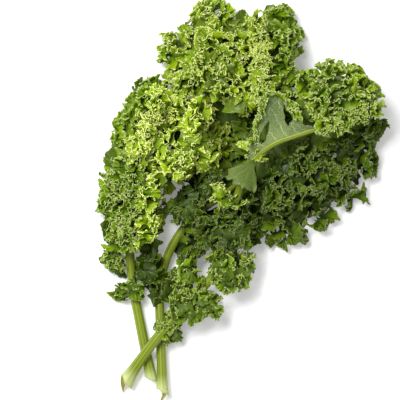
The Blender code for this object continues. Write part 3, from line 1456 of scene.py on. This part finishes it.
@dataclass
class Stalk:
    """A ribbed stalk that runs on as the midrib, along the rings of its CAD rod.

    Attributes:
        route: The rod.
        slant: How far its cut foot is out of square.
        ribs: How many ribs it has.
        relief: How high they stand, as a share of its radius.
        sides: How many sides its mesh has.
        rings: How many rings its mesh has.
    """

    route: Route
    slant: float = 4.0
    ribs: int = 9
    relief: float = 0.03
    sides: int = 36
    rings: int = 130

    def build(self, material: bpy.types.Material) -> bpy.types.Object:
        """Makes the stalk as a ring extruded along its route.

        Args:
            material: Its skin.

        Returns:
            The stalk.
        """
        shape = bmesh.new()
        ring = bmesh.ops.create_circle(shape, cap_ends=True, segments=self.sides, radius=1.0)["verts"]
        edges = list({edge for vert in ring for edge in vert.link_edges})
        layers = [list(ring)]
        for _ in range(self.rings - 1):
            grown = bmesh.ops.extrude_edge_only(shape, edges=edges)["geom"]
            edges = [part for part in grown if isinstance(part, bmesh.types.BMEdge) and part.is_boundary]
            layers.append([part for part in grown if isinstance(part, bmesh.types.BMVert)])
        bmesh.ops.holes_fill(shape, edges=edges, sides=0)
        uv = shape.loops.layers.uv.new("fan")
        placed: dict[bmesh.types.BMVert, tuple[float, float]] = {}
        for k, layer in enumerate(layers):
            share = k / (self.rings - 1)
            spot, ahead, left, radius = self.route.at(share)
            top = np.cross(ahead, left)
            for vert in layer:
                angle = math.atan2(vert.co.y, vert.co.x)
                placed[vert] = (angle / (2 * math.pi) + 0.5, share)
                wave = math.sin(self.ribs * angle + 3 * math.sin(4 * share))
                ribbed = radius * (1 + self.relief * wave)
                slant = math.cos(angle) + 0.3 * math.sin(3 * angle)
                cut = self.slant * slant * math.exp(-share * self.rings / 2)
                aside = (left * math.cos(angle) + top * math.sin(angle)) * ribbed
                vert.co = Vector((spot + aside + ahead * cut) * MM)
        for face in shape.faces:
            last = max(placed[vert][0] for vert in face.verts)
            for loop in face.loops:
                round_, along = placed[loop.vert]
                loop[uv].uv = (round_ + (last - round_ > 0.5), along)
        bmesh.ops.recalc_face_normals(shape, faces=shape.faces[:])
        mesh = finished(self.route.node + "_skin", shape, [material])
        lay_out(mesh)
        mesh.shade_smooth()
        made = linked(mesh.name, mesh)
        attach(made, "root")
        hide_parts(self.route.node)
        LOG.info("%s: %d rings read", made.name, len(self.route.rings))
        return made


# The bunch

PAINTED_HOLLOW_SHADE = 0.55  # painted shade: how light a fan sunk in a hollow is painted beside one outside it


@dataclass(frozen=True)
class LeafSkins:
    """One lit or shaded copy of the leaf's finishes, with light or shade painted into its colours: fans
    and smooth sheets, upper and under sides.

    Attributes:
        name: Its name.
        shade: How light it is painted, which paints the light or shade where its pieces lie.
        yellow: How much red it has beside its green.
    """

    name: str
    shade: float
    yellow: float

    def tinted(self, colour: Point) -> Point:
        """Brings a colour to this copy's painted light or shade."""
        red, green, blue = (part * self.shade for part in colour)
        return (red * self.yellow, green, blue)

    def materials(self) -> list[bpy.types.Material]:
        """Makes the materials.

        Returns:
            The fans' upper and under skins, and then the smooth sheets', which are painted darker as
            shade.
        """
        t = self.tinted
        top = FrillFinish(
            self.name + "_fan", root=t((0.09, 0.18, 0.004)), deep=t((0.21, 0.36, 0.004)),
            fresh=t((0.36, 0.51, 0.010)), rim=t((0.86, 0.87, 0.38)),
        )
        under = FrillFinish(
            self.name + "_fan_under", root=t((0.11, 0.19, 0.010)), deep=t((0.23, 0.36, 0.016)),
            fresh=t((0.34, 0.47, 0.035)), rim=t((0.79, 0.86, 0.26)),
        )
        # the smooth sheets' green is far darker than the fans': painted shade in the gaps between and
        # under the fans
        sheet = LaminaFinish(
            self.name + "_sheet", deep=t((0.07, 0.125, 0.004)), fresh=t((0.14, 0.22, 0.008)),
            vein=t((0.26, 0.34, 0.05)),
        ).material()
        return [top.material(), under.material(), sheet, sheet]

    def with_painted_hollow_shade(self) -> list[bpy.types.Material]:
        """Makes all the materials of a leaf piece, last the darker ones painted as shade for fans sunk
        in hollows.
        """
        # the _inner copy is the same finish painted darker as shade
        inner = LeafSkins(self.name + "_inner", self.shade * PAINTED_HOLLOW_SHADE, self.yellow)
        return self.materials() + inner.materials()[:2]


# Lit and shaded copies of one leaf finish, painted light or shade: sunny and bright for pieces high
# towards the lamp, fresh for the less lit ones, deep for those low down or under others.
PAINTED_SUNLIT = LeafSkins("sunny", 1.38, 1.03)
PAINTED_LIT = LeafSkins("bright", 1.12, 1.0)
PAINTED_LESS_LIT = LeafSkins("fresh", 0.92, 0.93)
PAINTED_SHADED = LeafSkins("deep", 0.46, 0.86)
PALE_UNDERSIDE = LaminaFinish(
    "pale_underside", deep=(0.115, 0.18, 0.055), fresh=(0.23, 0.31, 0.10), vein=(0.64, 0.72, 0.32),
    veins=7.0,
)
GREY_FLAP = LaminaFinish(
    "grey_flap", deep=(0.095, 0.15, 0.022), fresh=(0.14, 0.20, 0.035), vein=(0.28, 0.36, 0.10), veins=4.0
)
DRY_SLIVER = LaminaFinish(
    "dry_sliver", deep=(0.36, 0.32, 0.07), fresh=(0.48, 0.50, 0.14), vein=(0.30, 0.20, 0.06)
)
STALK = StalkFinish(
    "stalk_skin", rib=(0.25, 0.32, 0.022), furrow=(0.15, 0.215, 0.010), foot=(0.55, 0.62, 0.24)
)


@dataclass
class Bunch:
    """The three leaves together.

    Attributes:
        stretches: Where fans stand along the midribs.
        hollows: Where the leaves part: a rod, the share of its length, the way to the left, the
            radius, and how much deeper the leaf lies there, with its fans painted darker as shade.
        blades: The large pieces.
        window: The gap beside the middle stalk, from the share of its length, the way to the left
            and the radius.
        sheets_per_patch: How many smooth sheets close the bottom of a patch.
        patch_floor: How high over the surface they lie.
        slivers: The strips of skin at the cut ends: a stalk, the length, the width and the side.
        leaflets: The small pieces that differ from the others.
    """

    # each piece wears one of the painted lit or shaded copies of the leaf finish
    stretches: tuple[tuple[Stretch, LeafSkins], ...] = (
        (Stretch("left_stem", 0.46, 0.78, step=4.8, height=27.0), PAINTED_LESS_LIT),
        (Stretch("left_stem", 0.78, 1.0, step=4.8, height=27.0), PAINTED_SUNLIT),
        (Stretch("middle_stem", 0.55, 1.06, step=4.6, height=23.0), PAINTED_LIT),
        (Stretch("middle_stem", 0.37, 0.52, sides=(-1, -1), aside=22.0, low=0.3), PAINTED_SHADED),
        (
            Stretch(
                "right_stem", 0.46, 0.62, step=5.0, aside=9.0, reach=(9.0, 13.0), height=5.0, low=0.3
            ),
            PAINTED_SHADED,
        ),
        (Stretch("right_stem", 0.85, 1.0, bare=0.2), PAINTED_LESS_LIT),
        (
            Stretch("right_stem", 0.15, 0.26, step=4.0, reach=(6.0, 9.0), height=4.0, folds=SMALL_CURLY),
            PAINTED_LESS_LIT,
        ),
    )
    hollows: tuple[tuple[str, float, float, float, float], ...] = (
        ("right_stem", 0.68, 38.0, 29.0, 12.0),
        ("middle_stem", 0.53, 26.0, 17.0, 12.0),
        ("right_stem", 0.74, -13.0, 13.0, 12.0),
        ("right_stem", 0.84, -13.0, 13.0, 12.0),
    )
    blades: tuple[tuple[str, LeafSkins], ...] = (
        ("left_leaf_outer_blade", PAINTED_LESS_LIT),
        ("left_leaf_inner_blade", PAINTED_SUNLIT),
        ("middle_leaf_left_blade", PAINTED_LIT),
        ("middle_leaf_right_blade", PAINTED_LESS_LIT),
        ("right_leaf_upper_blade", PAINTED_LESS_LIT),
        ("right_leaf_lower_blade", PAINTED_SHADED),
    )
    window: tuple[float, float, float] = (0.49, 34.0, 6.5)
    sheets_per_patch: int = 6
    patch_floor: float = 9.0
    slivers: tuple[tuple[str, float, float, int], ...] = (
        ("middle_stem", 17.0, 5.0, -1),
        ("right_stem", 15.0, 8.0, 1),
    )
    leaflets: dict[str, tuple[Growth, LeafSkins]] = field(
        default_factory=lambda: {
            "middle_stem_left_leaflet": (TOOTHED_GROWTH, PAINTED_SHADED),
            "middle_stem_lower_leaflet": (TOOTHED_GROWTH, PAINTED_SHADED),
            "middle_leaf_lower_lobe": (LEAFLET_GROWTH, PAINTED_SHADED),
            "middle_leaf_base_lobe": (LEAFLET_GROWTH, PAINTED_SHADED),
            "right_leaf_left_base_lobe": (LEAFLET_GROWTH, PAINTED_SHADED),
        }
    )

    def build(self) -> list[bpy.types.Object]:
        """Builds every piece and ties it to the CAD model.

        Returns:
            The pieces.
        """
        stalk = STALK.material()
        sliver = DRY_SLIVER.material()
        skins = {shade.name: shade.with_painted_hollow_shade() for shade in (PAINTED_SUNLIT, PAINTED_LIT, PAINTED_LESS_LIT, PAINTED_SHADED)}
        routes = {node: Route(node) for node in ("left_stem", "middle_stem", "right_stem")}
        made = [Stalk(route).build(stalk) for route in routes.values()]
        made += [Sliver(routes[node], *size).build(sliver) for node, *size in self.slivers]
        turned = TurnedLobe(routes["right_stem"])
        made.append(turned.build(PALE_UNDERSIDE.material()))
        made.append(turned.ruffles(skins[PAINTED_LESS_LIT.name]))
        flap = Flap(routes["right_stem"], "right_leaf_folded_lobe")
        made.append(flap.build(GREY_FLAP.material()))
        hollows = [routes[node].patch(*size) for node, *size in self.hollows]
        patches = tuple(turned.patches() + flap.patches() + hollows)
        window = routes["middle_stem"].patch(*self.window)
        inner = [fan for fan in self.inner_sheets(patches) if not window.crossed(fan)]
        # the hollows' bottoms take the deep copy's dark sheet skin, painted shade
        made.append(joined("inner_sheets", inner, skins[PAINTED_SHADED.name]))
        for k, (stretch, shade) in enumerate(self.stretches, start=1):
            ruffles = MidribRuffles(routes[stretch.node], stretch, 90 + k, patches)
            made.append(ruffles.build(f"{stretch.node}_ruffles_{k}", skins[shade.name]))
        for seed, (node, shade) in enumerate(self.blades, start=11):
            made += LeafPiece(node, BLADE_GROWTH, seed, patches, window).build(skins[shade.name])
        done = set(routes) | {node for node, _ in self.blades}
        for seed, node in enumerate(sorted(set(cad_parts) - done), start=31):
            growth, shade = self.leaflets.get(node, (LEAFLET_GROWTH, PAINTED_LESS_LIT))
            made += LeafPiece(node, growth, seed, patches, window).build(skins[shade.name])
        for mesh in [m for m in bpy.data.meshes if m.name.startswith("fan_blank_")]:
            bpy.data.meshes.remove(mesh)
        return made

    def inner_sheets(self, patches: tuple[Patch, ...]) -> list[Fan]:
        """Lays out the low smooth sheets that close the bottom of every patch.

        Args:
            patches: The patches.

        Returns:
            The sheets.
        """
        made: list[Fan] = []
        turns = np.linspace(0.0, 2 * math.pi, self.sheets_per_patch, endpoint=False)
        for k, patch in enumerate(patches):
            for angle in turns + 0.4 * k:
                ahead = np.array((math.cos(angle), math.sin(angle), 0.0))
                root = np.array((*patch.middle[:2], self.patch_floor)) - 0.3 * patch.radius * ahead
                made.append(
                    Fan(
                        root=root, ahead=ahead, across=np.cross(UP, ahead), reach=1.4 * patch.radius,
                        spread=0.8, arch=0.3, seed=7000 + len(made), folds=WAVY, skin=PAINTED_SHADE_SHEET_SKIN,
                    )
                )
        return made


@dataclass
class Studio:
    """The surface, the lights and the camera over the bunch.

    Attributes:
        aside: How far to the side of the CAD model's middle the camera looks.
        view_width: How much of the surface is in view.
        distance: How high up the camera hangs.
        sensor: How wide its sensor is.
        lamp: Where the soft light hangs.
        lamp_size: How wide it is.
        lamp_power: Its power in watts.
        room: How strong the even light in the room is.
        floor: How wide the surface is.
    """

    aside: Point = (-41.5, -2.0)
    view_width: float = 400.0
    distance: float = 2500.0
    sensor: float = 36.0
    lamp: Point = (-640.0, 640.0, 1720.0)
    lamp_size: float = 800.0
    lamp_power: float = 41.5
    room: float = 0.5
    floor: float = 6000.0

    def build(self) -> None:
        """Sets up the studio."""
        self.surface()
        self.light()
        self.world()
        self.camera()

    def surface(self) -> None:
        """Lays the pale surface."""
        shape = bmesh.new()
        bmesh.ops.create_grid(shape, x_segments=1, y_segments=1, size=self.floor * MM / 2)
        floor = linked("surface", finished("surface", shape, [FloorFinish().material()]))

    def light(self) -> None:
        """Hangs a square soft light that faces the bunch."""
        lamp = bpy.data.lights.new("key", "AREA")
        lamp.size = self.lamp_size * MM
        lamp.energy = self.lamp_power
        made = linked("key", lamp)
        made.location = Vector(self.lamp) * MM
        made.rotation_euler = (-Vector(self.lamp)).to_track_quat("-Z", "Y").to_euler()

    def world(self) -> None:
        """Fills the room with even light."""
        world = bpy.data.worlds.new("room")
        world.use_nodes = True
        background = world.node_tree.nodes["Background"]
        background.inputs[0].default_value = (1.0, 1.0, 1.0, 1.0)
        background.inputs[1].default_value = self.room
        bpy.context.scene.world = world
        bpy.context.scene.view_settings.view_transform = "Standard"

    def camera(self) -> None:
        """Looks straight down, a little to the left of the bunch's middle, with +Y up the picture."""
        low, high = CAD_BOX
        middle = [(low[axis] + high[axis]) / 2 + self.aside[axis] * MM for axis in (0, 1)]
        lens = bpy.data.cameras.new("camera")
        lens.sensor_width = self.sensor
        lens.lens = self.sensor * self.distance / self.view_width
        lens.clip_end = 50.0
        made = linked("camera", lens)
        made.location = (*middle, self.distance * MM)
        bpy.context.scene.camera = made


def main() -> None:
    """Builds the studio and the bunch."""
    logging.basicConfig(level=logging.INFO, format="%(name)s: %(message)s")
    Studio().build()
    pieces = Bunch().build()
    LOG.info("%d pieces", len(pieces))
    bpy.context.view_layer.update()
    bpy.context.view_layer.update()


if __name__ == "__main__":
    main()
